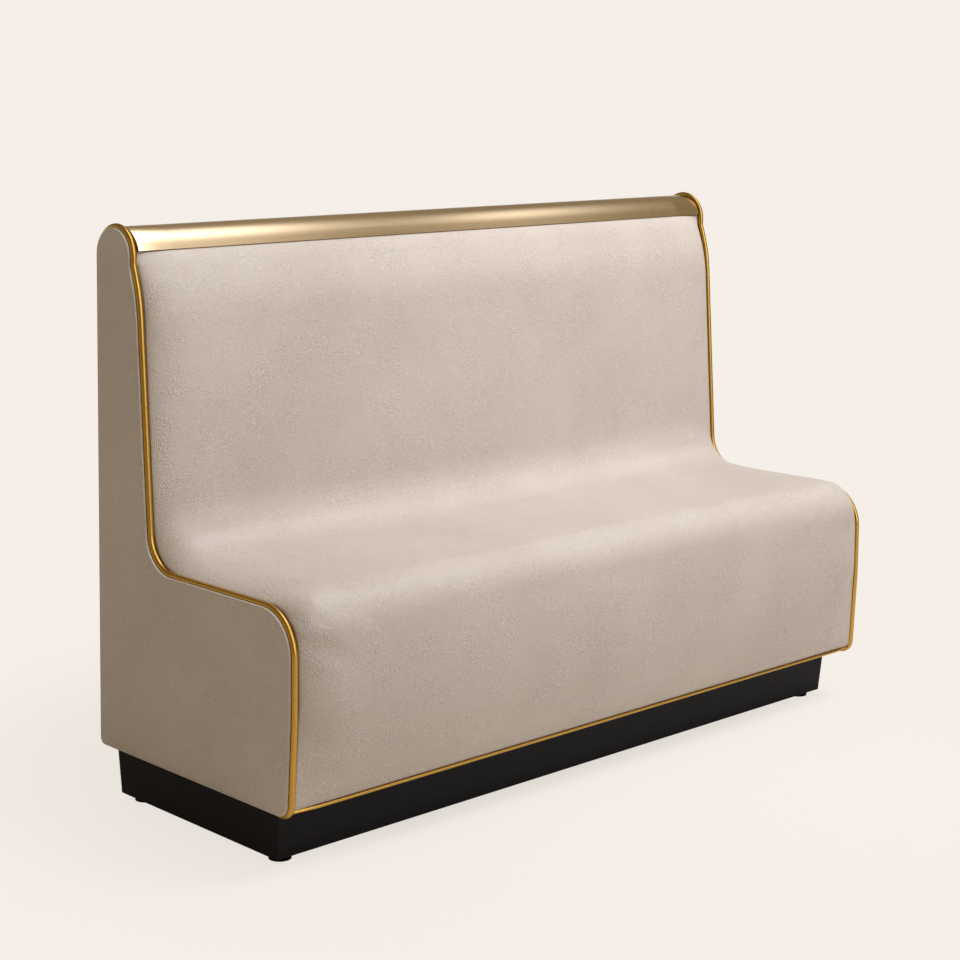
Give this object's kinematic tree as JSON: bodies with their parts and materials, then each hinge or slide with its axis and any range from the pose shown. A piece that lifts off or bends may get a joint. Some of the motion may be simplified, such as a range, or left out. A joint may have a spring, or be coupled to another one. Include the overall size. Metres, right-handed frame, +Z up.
{
  "type": "restaurant booth bench",
  "caption": "Single-sided restaurant booth bench: one-piece upholstered back, seat and front between domed end panels, gold piping, brass-tone cap rail, black plinth.",
  "frame": {"origin": "on the floor, under the middle of the bench's bounding box", "axes": "+X along the bench, +Y to the flat back (people sit facing -Y), +Z up"},
  "size_m": [1.555, 0.5666, 1.067],
  "materials": {
    "cream_vinyl": "satin pebble-grained vinyl",
    "gold_piping": "satin gold vinyl piping",
    "brass_rail": "satin brushed brass tone",
    "black_plinth": "matte black lacquer on board",
    "foam": "open-cell foam",
    "plywood": "raw plywood",
    "timber": "planed softwood",
    "black_plastic": "moulded, matte",
    "steel": "zinc plated"
  },
  "bodies": {
    "bench": {"end_cover_left": "cream_vinyl", "end_cover_right": "cream_vinyl", "pad_cover": "cream_vinyl", "outside_back_cover": "cream_vinyl", "piping_left": "gold_piping", "piping_right": "gold_piping", "piping_front_bottom": "gold_piping", "cap_rail": "brass_rail", "plinth_front": "black_plinth", "plinth_rear": "black_plinth", "plinth_left": "black_plinth", "plinth_right": "black_plinth", "back_foam": "foam", "seat_foam": "foam", "front_foam": "foam", "end_board_left": "plywood", "end_board_right": "plywood", "back_board": "plywood", "seat_deck": "plywood", "front_board": "plywood", "rib_left": "plywood", "rib_middle": "plywood", "rib_right": "plywood", "back_panel": "plywood", "back_top_rail": "timber", "seat_front_rail": "timber", "seat_rear_rail": "timber", "bottom_front_rail": "timber", "bottom_rear_rail": "timber", "rail_core": "timber", "plinth_stretchers": "timber", "corner_blocks": "timber"},
    "foot_front_left": {"foot_base_front_left": "black_plastic", "foot_stem_front_left": "steel"},
    "foot_rear_left": {"foot_base_rear_left": "black_plastic", "foot_stem_rear_left": "steel"},
    "foot_front_right": {"foot_base_front_right": "black_plastic", "foot_stem_front_right": "steel"},
    "foot_rear_right": {"foot_base_rear_right": "black_plastic", "foot_stem_rear_right": "steel"}
  },
  "joints": [
    {"name": "foot_front_left_screw", "type": "slide", "parent": "bench", "child": "foot_front_left", "axis": [0, 0, -1], "range_m": [0, 0.015]},
    {"name": "foot_rear_left_screw", "type": "slide", "parent": "bench", "child": "foot_rear_left", "axis": [0, 0, -1], "range_m": [0, 0.015]},
    {"name": "foot_front_right_screw", "type": "slide", "parent": "bench", "child": "foot_front_right", "axis": [0, 0, -1], "range_m": [0, 0.015]},
    {"name": "foot_rear_right_screw", "type": "slide", "parent": "bench", "child": "foot_rear_right", "axis": [0, 0, -1], "range_m": [0, 0.015]}
  ]
}
